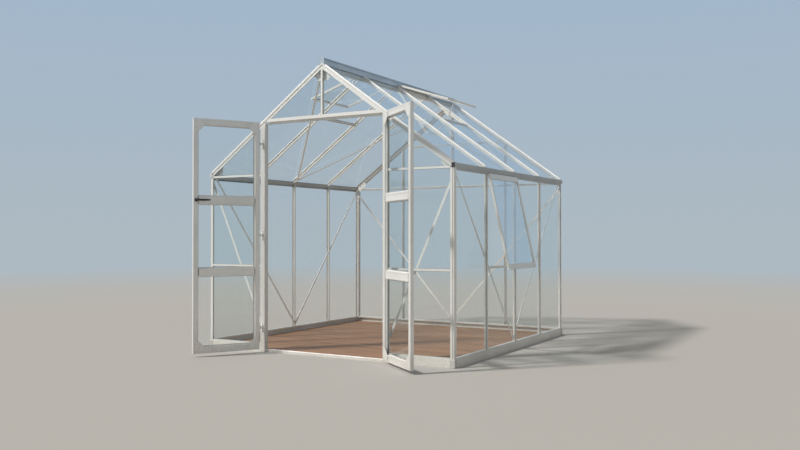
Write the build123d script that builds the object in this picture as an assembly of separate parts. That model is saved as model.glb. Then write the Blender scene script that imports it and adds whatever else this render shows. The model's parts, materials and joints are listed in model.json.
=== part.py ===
from build123d import *
import os
from math import atan2, cos, radians, sin, tan

# Aluminium and glass greenhouse with a double door, in millimetres.
# X runs across the front, Y runs from the front wall to the back, Z = 0 is the ground.
# The origin is the centre of the plan on the underside of the floor.

# Overall form
width = 2570.0
depth = 2570.0
eave_height = 1633.0
apex_height = 2557.0
bay_count = 4

# Fits
seat = 0.2
glass_play = 0.3
edge_gap = 1.0

# Glazing bar, an extruded tee with a bolt channel inside and a cap outside
frame_deep = 28.0
skin = 2.5
glass_thick = 3.0
shoulder = 2.0
wall = 2.0
cap_wide = 20.0
bar_wide = 22.0
web = 3.0
channel_wide = 16.0
channel_deep = 10.0
channel_mouth = 7.0

# Corner posts, stepped in along the corner, and gable rafters with a groove in the gable face
post_leg = 38.0
post_step_wide = 19.0
post_step_deep = 6.0
rafter_leg = 41.0
rafter_rib = 12.0
rafter_groove = 7.5

# Base rail, floor and corner brackets
base_height = 78.0
base_lip = 12.0
lip_setback = 3.0
base_wall = 3.0
base_return = 15.0
floor_thick = 21.0
bracket_leg = 42.0
bracket_thick = 2.0

# Eave gutter
gutter_tall = 37.0
gutter_inside = 24.0
gutter_proud = 4.0
hinge_flange = 22.0
end_cap = 3.0

# Ridge
ridge_half = 28.0
ridge_core_half = 12.0
ridge_core_deep = 62.0
ridge_proud = 45.0
ridge_lip = 6.0
ridge_lip_tall = 10.0
ridge_ribs = (13.0, 22.0)
ridge_rib_tall = 4.0
ridge_rib_proud = 2.0

# Rails, header and braces
mid_rail_height = 775.0
eave_rail_rise = 4.0
upper_rail_drop = 477.0
header_drop = 33.2
header_tall = 28.0
stop_drop = 20.0
stop_thick = 3.0
lip = 10.0
brace_wide = 20.0
brace_thick = 3.0
brace_foot = 22.0

# Joint plates inside the gables
plate_thick = 2.0
eave_plate_reach = 110.0
eave_plate_edge = 80.0
eave_plate_drop = 28.0
eave_plate_foot = 40.0
apex_plate_reach = 95.0
apex_plate_edge = 28.0
apex_plate_drop = 45.0

# Doorway and doors
doorway = 1240.0
door_post_wide = 45.0
door_post_deep = 39.0
threshold_tall = 22.0
door_gap = 6.0
door_side_gap = 8.0
leaf_gap = 8.0
door_deep = 28.0
stile_wide = 50.0
top_rail_tall = 60.0
bottom_rail_tall = 64.0
mid_rail_tall = 82.0
lower_mid_rail = 733.0
upper_mid_rail = 1361.0
leaf_rim = 10.0
leaf_recess = 2.5
corner_plate = 115.0
corner_plate_end = 45.0
corner_plate_inset = 5.0
hinge_heights = (220.0, 1055.0, 1882.0)
hinge_tall = 78.0
hinge_leaf = 26.0
hinge_setback = 15.0
hinge_margin = 2.0
knuckle_radius = 5.0
pin_radius = 2.2
pin_play = 0.3
hinge_proud = 6.0
left_door_open = 119.0
right_door_open = 141.0

# Lever handle
lever_length = 125.0
lever_tall = 16.0
lever_thick = 9.0
lever_neck = 30.0
rose_radius = 15.0
rose_thick = 5.0

# Sashes: two roof vents and the side window
sash_rail = 20.0
window_rail = 46.0
sash_thick = 18.0
sash_side_gap = 4.0
sash_groove = 8.0
vent_length = 580.0
vent_open = 17.7
window_tilt = 12.5
window_top_drop = 12.0
window_lap = 10.0
stay_wide = 12.0
stay_thick = 4.0
vent_stay_from_edge = 165.0
window_stay_from_edge = 100.0

# Values worked out from the sizes above
half_w = width / 2
half_d = depth / 2
pitch_x = width / bay_count
pitch_y = depth / bay_count
slope = atan2(apex_height - eave_height, half_w)
slot = glass_thick + 2 * glass_play
seat_front = skin + slot
seat_back = seat_front + shoulder
glass_out = -(skin + glass_play)
glass_in = glass_out - glass_thick
gutter_bottom = eave_height - gutter_tall
eave_rail_height = gutter_bottom + eave_rail_rise
upper_rail_height = apex_height - upper_rail_drop
post_half = doorway / 2
post_outer = post_half + door_post_wide
header_bottom = apex_height - post_half * tan(slope) - header_drop
leaf_outer = post_half - door_side_gap
leaf_inner = leaf_gap / 2
hinge_x = post_outer - hinge_setback
hinge_y = -half_d - hinge_proud
door_bottom = threshold_tall + door_gap
door_top = header_bottom - door_gap
glass_edge = web / 2 + edge_gap
brace_out = -(frame_deep + seat)
brace_in = brace_out - brace_thick
plate_in = brace_out - plate_thick
bar_places_y = [pitch_y * (n - bay_count / 2) for n in range(1, bay_count)]
bar_places_x = [pitch_x * (n - bay_count / 2) for n in range(1, bay_count)]

os.makedirs("parts", exist_ok=True)


def roof_z(x, below=0.0):
    """Height of the roof surface at x, or of a plane that far below it."""
    return apex_height - abs(x) * tan(slope) - below / cos(slope)


def rect(u0, v0, u1, v1):
    """A rectangle given by two corners."""
    return Pos((u0 + u1) / 2, (v0 + v1) / 2) * Rectangle(abs(u1 - u0), abs(v1 - v0))


def outline(*points):
    """A closed flat shape through the points."""
    return make_face(Polyline(*points, close=True))


def block(low, high):
    """A box given by its lowest and highest corners."""
    middle = [(a + b) / 2 for a, b in zip(low, high)]
    return Pos(*middle) * Box(*[b - a for a, b in zip(low, high)])


def run(section, start, end, outward):
    """A section carried along a straight line; the section's second axis points outward."""
    along = Vector(*end) - Vector(*start)
    side = Vector(*outward).cross(along)
    return Plane(origin=start, x_dir=side, z_dir=along) * extrude(section, amount=along.length)


def below(shape, point, normal):
    """The part of a shape behind a plane."""
    return split(shape, bisect_by=Plane(origin=point, z_dir=normal), keep=Keep.BOTTOM)


def left_of(shape):
    return mirror(shape, about=Plane.YZ)


def front_of(shape):
    return mirror(shape, about=Plane.XZ)


def save(node, *shapes):
    """Write one node, with each of its solids."""
    solids = [solid for shape in shapes for solid in shape.solids()]
    export_step(Compound(solids) if len(solids) > 1 else solids[0], f"parts/{node}.step")


# Sections of the aluminium extrusions, outer face on v = 0 and the inside at negative v


def cap_section():
    crown = cap_wide / 2 - skin / 2
    return outline((-cap_wide / 2, -skin), (-crown, 0), (crown, 0), (cap_wide / 2, -skin))


def channel_section():
    """The bolt channel with the web that carries it."""
    inner = -(frame_deep - channel_deep)
    body = rect(-channel_wide / 2, -frame_deep, channel_wide / 2, inner)
    body -= rect(-channel_wide / 2 + wall, -frame_deep + wall, channel_wide / 2 - wall, inner - wall)
    body -= rect(-channel_mouth / 2, -frame_deep, channel_mouth / 2, -frame_deep + wall)
    return body + rect(-web / 2, inner, web / 2, -seat_back)


def bar_section():
    ledge = rect(-bar_wide / 2, -seat_back, bar_wide / 2, -seat_front)
    stem = rect(-web / 2, -seat_back, web / 2, -skin / 2)
    return cap_section() + stem + ledge + channel_section()


def corner_section(leg_u, leg_v):
    """A square tube with two pairs of lips, one for the glass of each side."""
    shape = rect(-leg_u, -skin, 0, 0) + rect(-skin, -leg_v, 0, 0)
    shape += rect(-frame_deep, -frame_deep, 0, 0)
    shape -= rect(-frame_deep + wall, -frame_deep + wall, -skin, -skin)
    shape += rect(-leg_u, -seat_back, -frame_deep + wall, -seat_front)
    shape += rect(-seat_back, -leg_v, -seat_front, -frame_deep + wall)
    return shape


def post_corner():
    """The part of a corner post's outline that is cut back along both faces."""
    return rect(-post_step_wide, -post_step_deep, 0, 0) + rect(-post_step_deep, -post_step_wide, 0, 0)


def post_section():
    """A corner post, with the walls that follow its step."""
    shape = corner_section(post_leg, post_leg) - post_corner()
    outer, inner = -post_step_wide, -post_step_deep
    shape += rect(outer - wall, inner - wall, outer, -skin / 2)
    shape += rect(inner - wall, outer - wall, -skin / 2, outer)
    return shape + rect(outer - wall, inner - wall, inner, inner) + rect(inner - wall, outer, inner, inner)


def post_skin():
    return rect(-post_leg, -skin, 0, 0) + rect(-skin, -post_leg, 0, 0) - post_corner()


def rafter_section():
    """A gable rafter: u = 0 is its gable face, with a groove between the rib and the lip."""
    shape = corner_section(post_leg, rafter_leg)
    low = -frame_deep + wall
    shape -= rect(-rafter_groove, low, 0, -rafter_rib)
    shape += rect(-rafter_groove - wall, low, -rafter_groove, -rafter_rib + wall)
    return shape + rect(-rafter_groove, -rafter_rib, -skin / 2, -rafter_rib + wall)


def edge_section(face, deep):
    """A tube with lips along one side: u = 0 is the plain edge, u = face is the end of the lips."""
    tube = face - lip
    shape = rect(0, -deep, tube, 0) - rect(wall, -deep + wall, tube - wall, -skin)
    shape += rect(tube - wall, -skin, face, 0)
    shape += rect(tube - wall, -seat_back, face, -seat_front)
    return shape


def middle_section(face, deep):
    """A tube with lips along both sides, centred on u = 0."""
    tube = face / 2 - lip
    shape = rect(-tube, -deep, tube, 0) - rect(-tube + wall, -deep + wall, tube - wall, -skin)
    for side in (-1, 1):
        shape += rect(side * (tube - wall), -skin, side * face / 2, 0)
        shape += rect(side * (tube - wall), -seat_back, side * face / 2, -seat_front)
    return shape


def recessed(shape, u0, u1):
    """A leaf's tube from u0 to u1 with the middle of its inner face stepped in."""
    low, high = u0 + leaf_rim, u1 - leaf_rim
    step = -door_deep + leaf_recess
    shape += rect(low - wall, -door_deep, high + wall, step + wall)
    return shape - rect(low, -door_deep, high, step)


def leaf_edge_section(face):
    return recessed(edge_section(face, door_deep), 0, face - lip)


def leaf_middle_section():
    tube = mid_rail_tall / 2 - lip
    return recessed(middle_section(mid_rail_tall, door_deep), -tube, tube)


def header_section():
    """The header, with a stop behind the top of the closed leaves."""
    stop = rect(-stop_drop, -door_post_deep, wall, -door_post_deep + stop_thick)
    return edge_section(header_tall, door_post_deep) + stop


def base_section():
    """Base rail: u is the height above the ground."""
    ledge = base_height - base_lip
    shape = rect(0, -base_wall, ledge, 0)
    shape += rect(ledge - base_wall, -lip_setback - base_wall, ledge, 0)
    shape += rect(ledge - base_wall, -lip_setback - base_wall, base_height, -lip_setback)
    shape += rect(base_height - base_wall, -frame_deep, base_height, -lip_setback)
    shape += rect(base_height - base_return, -frame_deep, base_height, -frame_deep + base_wall)
    shape += rect(0, -frame_deep, base_wall, 0)
    return shape


def trough_section():
    """Gutter trough: u is the height above the bottom of the gutter."""
    inner_top = [roof_z(half_w - gutter_inside + step, frame_deep) - seat - gutter_bottom
                 for step in (0, skin)]
    shape = rect(0, -gutter_inside, skin, gutter_proud)
    shape += rect(0, gutter_proud - skin, gutter_tall, gutter_proud)
    shape += outline((0, -gutter_inside), (inner_top[0], -gutter_inside),
                     (inner_top[1], -gutter_inside + skin), (0, -gutter_inside + skin))
    return shape


def flange_section():
    """The two flanges under the trough that hold the top edge of the wall glass."""
    shape = rect(-hinge_flange, -skin, seat, 0)
    return shape + rect(-hinge_flange / 2, -seat_back, seat, -seat_front)


def sash_section(face):
    """Hollow sash rail with a glass groove in its inner edge, v centred on the rail."""
    half = sash_thick / 2
    shape = rect(0, -half, face, half)
    shape -= rect(wall, -half + wall, face - sash_groove - wall, half - wall)
    return shape - rect(face - sash_groove, -slot / 2, face, slot / 2)


# Places that several parts share

roof = Plane(origin=(0, 0, apex_height), x_dir=(cos(slope), 0, -sin(slope)),
             z_dir=(sin(slope), 0, cos(slope)))
slope_end = half_w / cos(slope) + frame_deep


def under_roof(shape, depth_below):
    """Trim a shape to what lies at least that far below both slopes."""
    for side in (-1, 1):
        shape = below(shape, (0, 0, roof_z(0, depth_below)), (side * sin(slope), 0, cos(slope)))
    return shape


def between_x(shape, low, high):
    return below(below(shape, (high, 0, 0), (1, 0, 0)), (low, 0, 0), (-1, 0, 0))


def wall_sheet(points, y_high, thick):
    """A plate in an X-Z plane, from points (x, z)."""
    place = Plane(origin=(0, y_high, 0), x_dir=(1, 0, 0), z_dir=(0, -1, 0))
    return place * extrude(outline(*points), amount=thick)


def wall_upright(x, y, outward, top):
    """A glazing bar of a wall, standing on the base rail with its cap over the rail's lip."""
    lap = base_height - base_lip + 2 * seat
    foot = run(cap_section(), (x, y, lap), (x, y, base_height + seat), outward)
    return foot + run(bar_section(), (x, y, base_height + seat), (x, y, top), outward)


# Base rails and floor


def base_rails():
    long_side = half_d + frame_deep
    right = run(base_section(), (half_w, -long_side, 0), (half_w, long_side, 0), (1, 0, 0))
    back = run(base_section(), (half_w + frame_deep, half_d, 0), (-half_w - frame_deep, half_d, 0),
               (0, 1, 0))
    right = below(right, (half_w + seat, half_d, 0), (-1, 1, 0))
    right = below(right, (half_w + seat, -half_d, 0), (-1, -1, 0))
    back = below(below(back, (half_w, half_d, 0), (1, -1, 0)), (-half_w, half_d, 0), (-1, -1, 0))
    front = front_of(back)
    inner = post_outer + lip + seat
    front_right = between_x(front, inner, width)
    save("base_rails", right, left_of(right), back, front_right, left_of(front_right))


def corner_brackets():
    low = base_wall
    high = base_height - base_lip - base_wall
    x0, y0 = half_w, half_d
    x1, y1 = x0 + seat + bracket_thick, y0 + seat + bracket_thick
    bracket = block((x0 - bracket_leg, y0 + seat, low), (x1, y1, high))
    bracket += block((x0 + seat, y0 - bracket_leg, low), (x1, y1, high))
    front = front_of(bracket)
    save("base_corner_brackets", bracket, left_of(bracket), front, left_of(front))


def floor_and_threshold():
    """A hollow threshold between the door posts, and a floor cut back around them."""
    reach = post_half - seat
    strip = rect(0, 0, door_post_deep, threshold_tall)
    strip -= rect(wall, 0, door_post_deep - wall, threshold_tall - wall)
    save("door_threshold", run(strip, (-reach, -half_d, 0), (reach, -half_d, 0), (0, 0, 1)))
    inner_x = half_w - frame_deep - seat
    inner_y = half_d - frame_deep - seat
    notch_x = post_outer + seat
    notch_back = -half_d + door_post_deep + seat
    slab = block((-inner_x, -inner_y, 0), (inner_x, inner_y, floor_thick))
    save("timber_floor", slab - block((-notch_x, -half_d, 0), (notch_x, notch_back, floor_thick)))


# Wall frame


def corner_posts():
    top = gutter_bottom - seat
    lap = base_height - base_lip + 2 * seat
    foot = base_height + seat
    post = run(post_section(), (half_w, half_d, foot), (half_w, half_d, top), (0, 1, 0))
    post += run(post_skin(), (half_w, half_d, lap), (half_w, half_d, foot), (0, 1, 0))
    front = front_of(post)
    save("corner_posts", post, left_of(post), front, left_of(front))


def side_wall_bars():
    cap_top = gutter_bottom - hinge_flange - seat
    top = gutter_bottom - seat
    bars = []
    for y in bar_places_y:
        bar = wall_upright(half_w, y, (1, 0, 0), cap_top)
        bars.append(bar + run(channel_section(), (half_w, y, cap_top), (half_w, y, top), (1, 0, 0)))
    save("side_wall_bars", *bars, *[left_of(bar) for bar in bars])


def back_wall_bars():
    bars = []
    for x in bar_places_x:
        bar = wall_upright(x, half_d, (0, 1, 0), apex_height)
        bars.append(under_roof(bar, rafter_leg + seat))
    save("back_wall_bars", *bars)


def door_posts():
    post = run(edge_section(door_post_wide + lip, door_post_deep), (post_half, -half_d, apex_height),
               (post_half, -half_d, 0), (0, -1, 0))
    post = under_roof(post, rafter_leg + seat)
    save("door_posts", post, left_of(post))


def header_and_king_post():
    header = run(header_section(), (-post_half + seat, -half_d, header_bottom),
                 (post_half - seat, -half_d, header_bottom), (0, -1, 0))
    save("door_header", under_roof(header, rafter_leg + seat))
    foot = header_bottom + header_tall + seat
    king = run(bar_section(), (0, -half_d, foot), (0, -half_d, apex_height), (0, -1, 0))
    save("front_king_post", under_roof(king, rafter_leg + seat))


def level_rail(x0, x1, y, height, outward):
    return run(bar_section(), (x0, y, height), (x1, y, height), outward)


def wall_rails():
    bay_in = post_outer + lip + seat
    bay_out = half_w - post_leg - seat
    heights = (mid_rail_height, eave_rail_height)
    front = [under_roof(level_rail(bay_in, bay_out, -half_d, z, (0, -1, 0)), rafter_leg + seat)
             for z in heights]
    save("front_wall_rails", *front, *[left_of(rail) for rail in front])
    half_bar = bar_wide / 2 + seat
    edges = [-bay_out] + [x + s * half_bar for x in bar_places_x for s in (-1, 1)] + [bay_out]
    spans = list(zip(edges[::2], edges[1::2]))
    back = [under_roof(level_rail(a, b, half_d, eave_rail_height, (0, 1, 0)), rafter_leg + seat)
            for a, b in spans]
    upper = level_rail(half_bar, half_w, half_d, upper_rail_height, (0, 1, 0))
    upper = under_roof(upper, rafter_leg + seat)
    save("back_wall_rails", *back, upper, left_of(upper))


# Roof frame


def gable_rafters():
    back = roof * run(rafter_section(), (0, half_d, 0), (slope_end, half_d, 0), (0, 0, 1))
    back = between_x(back, seat / 2, half_w - gutter_proud)
    trough = block((half_w - gutter_inside - seat, 0, 0), (width, depth, eave_height + seat))
    back = back - trough
    doorway_head = block((0, -depth, 0), (post_half, 0, header_bottom))
    front = front_of(back) - doorway_head
    save("back_rafters", back, left_of(back))
    save("front_rafters", front, left_of(front))


def roof_bars():
    end_x = half_w - gutter_inside + 3 * skin
    bars = []
    for y in bar_places_y:
        bar = roof * run(bar_section(), (0, y, 0), (slope_end, y, 0), (0, 0, 1))
        bars.append(between_x(bar, ridge_core_half + seat, end_x))
    save("right_roof_bars", *bars)
    save("left_roof_bars", *[left_of(bar) for bar in bars])


def beam_outline(half, peak, low):
    """A box outline whose top follows the two slopes up to the peak."""
    shoulder_z = peak - half * tan(slope)
    return outline((-half, low), (half, low), (half, shoulder_z), (0, peak), (-half, shoulder_z))


def ridge():
    end = half_d - post_leg - seat
    core = beam_outline(ridge_core_half, apex_height, apex_height - ridge_core_deep)
    core -= beam_outline(ridge_core_half - wall, apex_height - wall, apex_height - ridge_core_deep + wall)
    place = Plane(origin=(0, end, 0), x_dir=(1, 0, 0), z_dir=(0, -1, 0))
    save("ridge_beam", place * extrude(core, amount=2 * end))
    crest = apex_height + ridge_proud
    eaves = crest - ridge_lip
    skirt = roof_z(ridge_half) + seat
    lip_x = ridge_half + ridge_lip
    cap = outline((-lip_x, eaves), (0, crest), (lip_x, eaves), (lip_x, eaves - skin),
                  (0, crest - skin), (-lip_x, eaves - skin))
    cap += rect(-ridge_half, apex_height + seat, ridge_half, apex_height + seat + skin)
    for side in (-1, 1):
        cap += rect(side * (ridge_half - wall), skirt + wall, side * ridge_half, eaves)
        inner = side * (ridge_half - wall)
        cap += outline((side * ridge_half, skirt), (inner, roof_z(ridge_half - wall) + seat),
                       (inner, skirt + 2 * wall), (side * ridge_half, skirt + 2 * wall))
        cap += rect(side * (lip_x - wall), eaves - ridge_lip_tall, side * lip_x, eaves)
        for rise in ridge_ribs:
            low = apex_height + rise
            cap += rect(inner, low, side * (ridge_half + ridge_rib_proud), low + ridge_rib_tall)
    place = Plane(origin=(0, half_d, 0), x_dir=(1, 0, 0), z_dir=(0, -1, 0))
    save("ridge_cap", place * extrude(cap, amount=depth))


def gutters():
    bottom = gutter_bottom
    gutter = run(trough_section(), (half_w, -half_d, bottom), (half_w, half_d, bottom), (1, 0, 0))
    inner = half_d - post_leg - seat
    gutter += run(flange_section(), (half_w, -inner, bottom), (half_w, inner, bottom), (1, 0, 0))
    save("eave_gutters", gutter, left_of(gutter))
    closure = block((half_w - gutter_inside, half_d + seat, bottom),
                    (half_w + gutter_proud, half_d + seat + end_cap, eave_height))
    front = front_of(closure)
    save("gutter_end_caps", closure, left_of(closure), front, left_of(front))


# Braces and plates


def flat_bar(start, end, outward, thick=brace_thick, wide=brace_wide):
    """A flat strip between two points, its outer face on the line."""
    return run(rect(-wide / 2, -thick, wide / 2, 0), start, end, outward)


def side_wall_braces():
    x = half_w + brace_out
    top = (x, half_d - frame_deep - brace_wide, gutter_bottom)
    foot = (x, 0, base_height + brace_foot)
    brace = flat_bar(foot, top, (1, 0, 0))
    brace = below(brace, (0, 0, gutter_bottom - seat), (0, 0, 1))
    brace = below(brace, (0, web / 2, 0), (0, -1, 0))
    brace = below(brace, (0, half_d + brace_in - seat, 0), (0, 1, 0))
    front = front_of(brace)
    return [brace, front, left_of(brace), left_of(front)]


def gable_wall_braces():
    level = eave_rail_height - eave_plate_drop - brace_wide
    y = half_d + brace_out
    top_x_end = half_w - frame_deep / 2
    foot = (0, y, base_height + brace_foot)
    brace = flat_bar(foot, (top_x_end, y, level), (0, 1, 0))
    brace = between_x(brace, web / 2, top_x_end)
    front = flat_bar((post_half, -y, base_height + brace_foot), (top_x_end, -y, level), (0, -1, 0))
    front = between_x(front, post_outer + seat, top_x_end)
    return [brace, left_of(brace), front, left_of(front)]


def roof_braces():
    start_a = (ridge_core_half + brace_wide) / cos(slope)
    end_a = (half_w - gutter_inside - brace_wide) / cos(slope)
    n = brace_out
    reach = half_d + plate_in - seat
    brace = flat_bar((end_a, 0, n), (start_a, reach, n), (0, 0, 1))
    brace = below(brace, (0, web / 2, 0), (0, -1, 0))
    brace = below(brace, (0, reach, 0), (0, 1, 0))
    brace = between_x(roof * brace, ridge_core_half + seat, half_w)
    front = front_of(brace)
    save("roof_braces", brace, front, left_of(brace), left_of(front))


def joint_plates():
    """Flat plates that join the rafters to the posts at the eaves and to each other at the apex."""
    clear = seat_back + seat
    y = half_d + brace_out
    inner = half_w - gutter_inside - 2 * seat
    near = inner - eave_plate_reach
    low = eave_rail_height - eave_plate_drop
    under = gutter_bottom - 2 * seat
    post_x = half_w - clear
    eave = wall_sheet([(near, roof_z(near, clear)), (inner, roof_z(inner, clear)), (inner, under),
                       (post_x, under), (post_x, low), (post_x - eave_plate_foot, low),
                       (near, roof_z(near, clear) - eave_plate_edge)], y, plate_thick)
    wing = apex_plate_reach
    edge = roof_z(wing, clear)
    low = edge - apex_plate_edge - apex_plate_drop
    apex = wall_sheet([(0, roof_z(0, clear)), (wing, edge), (wing, edge - apex_plate_edge),
                       (wing / 2, low), (-wing / 2, low), (-wing, edge - apex_plate_edge),
                       (-wing, edge)], y, plate_thick)
    back = [eave, left_of(eave), apex]
    save("joint_plates", *back, *[front_of(plate) for plate in back])


# Fixed glass


def side_wall_glass():
    low = base_height + seat
    high = gutter_bottom - lip
    edges = [-half_d + frame_deep + edge_gap]
    for y in bar_places_y:
        edges += [y - glass_edge, y + glass_edge]
    edges.append(half_d - frame_deep - edge_gap)
    panes = []
    window_panes = []
    for bay, (a, b) in enumerate(zip(edges[::2], edges[1::2])):
        top = mid_rail_height - glass_edge if bay == 1 else high
        panes.append(block((half_w + glass_in, a, low), (half_w + glass_out, b, high)))
        window_panes.append(block((half_w + glass_in, a, low), (half_w + glass_out, b, top)))
    save("right_wall_glass", *window_panes)
    save("left_wall_glass", *[left_of(pane) for pane in panes])


def gable_pane(x0, x1, z0, z1=apex_height):
    """A pane of the back gable, cut along the rafter where it reaches that high."""
    sheet = block((x0, half_d + glass_in, z0), (x1, half_d + glass_out, z1))
    return under_roof(sheet, frame_deep + edge_gap)


def gable_glass():
    low = base_height + seat
    eave = eave_rail_height
    gap = glass_edge
    outer = half_w - frame_deep - edge_gap
    inner = post_outer + edge_gap
    header = header_bottom + header_tall - lip + edge_gap
    side = [gable_pane(inner, outer, low, mid_rail_height - gap),
            gable_pane(inner, outer, mid_rail_height + gap, eave - gap),
            gable_pane(inner, outer, eave + gap),
            gable_pane(gap, post_half - edge_gap, header)]
    front = [front_of(pane) for pane in side]
    save("front_glass", *front, *[left_of(pane) for pane in front])
    bar = bar_places_x[-1]
    upper = upper_rail_height
    back = [gable_pane(gap, bar - gap, low, eave - gap),
            gable_pane(bar + gap, outer, low, eave - gap),
            gable_pane(bar + gap, outer, eave + gap),
            gable_pane(gap, bar - gap, eave + gap, upper - gap),
            gable_pane(gap, bar - gap, upper + gap)]
    save("back_glass", *back, *[left_of(pane) for pane in back])


# Sashes of the vents and the window, in their own frame: x down the sash, y across, z outward

vent_tilt = slope - radians(vent_open)
vent_pivot_x = ridge_half + seat + sash_thick / 2 * sin(vent_tilt)
vent_sill_a = vent_pivot_x / cos(slope) + vent_length - sash_rail / 2
window_pivot_z = gutter_bottom - window_top_drop
window_pivot_x = half_w + seat + sash_thick / 2 * cos(radians(window_tilt))
window_length = window_pivot_z - mid_rail_height + window_rail / 2 + window_lap
sash_width = pitch_y - 2 * sash_side_gap


def sash_place(x, y, z, down, out):
    return Plane(origin=(x, y, z), x_dir=down, z_dir=out)


def vent_place(y):
    down = (cos(vent_tilt), 0, -sin(vent_tilt))
    return sash_place(vent_pivot_x, y, apex_height, down, (sin(vent_tilt), 0, cos(vent_tilt)))


def window_place(y):
    tilt = radians(window_tilt)
    down = (sin(tilt), 0, -cos(tilt))
    return sash_place(window_pivot_x, y, window_pivot_z, down, (cos(tilt), 0, sin(tilt)))


def sash_rails(length, end_rail):
    """Side rails over the full length, with the top and bottom rails between them."""
    half = sash_width / 2
    inner = half - sash_rail - seat
    out = (0, 0, 1)
    near = run(sash_section(sash_rail), (0, -half, 0), (length, -half, 0), out)
    far = run(sash_section(sash_rail), (length, half, 0), (0, half, 0), out)
    top = run(sash_section(end_rail), (0, inner, 0), (0, -inner, 0), out)
    bottom = run(sash_section(end_rail), (length, -inner, 0), (length, inner, 0), out)
    return [near, far, top, bottom]


def sash_pane(length, end_rail):
    hidden = sash_groove - edge_gap
    end = end_rail - hidden
    half = sash_width / 2 - sash_rail + hidden
    return block((end, -half, -glass_thick / 2), (length - end, half, glass_thick / 2))


def stay(place, along, offset, foot, foot_normal):
    """A casement stay from the bottom rail of a sash down to the sill, cut to both faces."""
    head = place.from_local_coords(Vector(along, offset, -sash_thick / 2))
    line = foot - head
    section = rect(-stay_wide / 2, -stay_thick / 2, stay_wide / 2, stay_thick / 2)
    strip = run(section, head - line, foot + line, line.cross(Vector(0, 1, 0)))
    strip = below(strip, head - place.z_dir * seat, place.z_dir)
    return below(strip, foot + foot_normal * seat, foot_normal * -1)


def roof_vents():
    bay = pitch_y / 2
    offset = vent_stay_from_edge - pitch_y / 2
    place = vent_place(bay)
    rails = [place * rail for rail in sash_rails(vent_length, sash_rail)]
    foot = roof.from_local_coords(Vector(vent_sill_a, bay + offset, 0))
    bar = stay(place, vent_length - sash_rail / 2, offset, foot, roof.z_dir)
    pane = place * sash_pane(vent_length, sash_rail)
    ends = bar_wide / 2 + seat
    sill = roof * run(bar_section(), (vent_sill_a, ends, 0), (vent_sill_a, pitch_y - ends, 0), (0, 0, 1))
    shift = Pos(0, -pitch_y, 0)
    save("roof_vent_frames", *rails, *[left_of(shift * rail) for rail in rails])
    save("roof_vent_glass", pane, left_of(shift * pane))
    return [bar, left_of(shift * bar)], [sill, left_of(shift * sill)]


def side_window():
    bay = -pitch_y / 2
    offset = window_stay_from_edge - pitch_y / 2
    place = window_place(bay)
    foot = Vector(half_w, bay + offset, mid_rail_height)
    save("side_window_frame", *[place * rail for rail in sash_rails(window_length, window_rail)])
    save("side_window_glass", place * sash_pane(window_length, window_rail))
    bar = stay(place, window_length - window_rail / 2, offset, foot, Vector(1, 0, 0))
    ends = bar_wide / 2 + seat
    low = (half_w, -pitch_y + ends, mid_rail_height)
    return [bar], [run(bar_section(), low, (half_w, -ends, mid_rail_height), (1, 0, 0))]


def sashes():
    vent_stays, vent_sills = roof_vents()
    window_stay, window_sill = side_window()
    save("sash_stays", *vent_stays, *window_stay)
    save("sash_sills", *vent_sills, *window_sill)


def roof_glass():
    high = (ridge_core_half + edge_gap - glass_in * sin(slope)) / cos(slope)
    low = (half_w - gutter_inside + 4 * skin) / cos(slope)
    edges = [-half_d + frame_deep + edge_gap]
    for y in bar_places_y:
        edges += [y - glass_edge, y + glass_edge]
    edges.append(half_d - frame_deep - edge_gap)
    panes = {"right": [], "left": []}
    for bay, (a, b) in enumerate(zip(edges[::2], edges[1::2])):
        for side, vent_bay in (("right", 2), ("left", 1)):
            start = vent_sill_a + glass_edge if bay == vent_bay else high
            pane = roof * block((start, a, glass_in), (low, b, glass_out))
            panes[side].append(pane if side == "right" else left_of(pane))
    save("right_roof_glass", *panes["right"])
    save("left_roof_glass", *panes["left"])


# Doors, drawn closed on the right and then swung open about their hinge lines


def swing(shape, side):
    """Put a closed right-hand door part in its open place, or in the left door's."""
    if side == "left":
        return left_of(shape).rotate(Axis((-hinge_x, hinge_y, 0), (0, 0, 1)), -left_door_open)
    return shape.rotate(Axis((hinge_x, hinge_y, 0), (0, 0, 1)), right_door_open)


def door_stiles():
    section = leaf_edge_section(stile_wide)
    y = -half_d
    hinge_stile = run(section, (leaf_outer, y, door_bottom), (leaf_outer, y, door_top), (0, -1, 0))
    free_stile = run(section, (leaf_inner, y, door_top), (leaf_inner, y, door_bottom), (0, -1, 0))
    return [hinge_stile, free_stile]


def door_rails():
    y = -half_d
    low = leaf_inner + stile_wide + seat
    high = leaf_outer - stile_wide - seat
    out = (0, -1, 0)
    top = run(leaf_edge_section(top_rail_tall), (high, y, door_top), (low, y, door_top), out)
    bottom = run(leaf_edge_section(bottom_rail_tall), (low, y, door_bottom), (high, y, door_bottom), out)
    middle = [run(leaf_middle_section(), (low, y, z), (high, y, z), out)
              for z in (lower_mid_rail, upper_mid_rail)]
    return [top, bottom] + middle


def door_panes():
    tube = stile_wide - lip
    x0 = leaf_inner + tube + edge_gap
    x1 = leaf_outer - tube - edge_gap
    half = mid_rail_tall / 2 - lip + edge_gap
    steps = [door_bottom + bottom_rail_tall - lip + edge_gap, lower_mid_rail - half, lower_mid_rail + half,
             upper_mid_rail - half, upper_mid_rail + half, door_top - top_rail_tall + lip - edge_gap]
    y0 = -half_d - glass_in - glass_thick
    return [block((x0, y0, a), (x1, y0 + glass_thick, b)) for a, b in zip(steps[::2], steps[1::2])]


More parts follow.
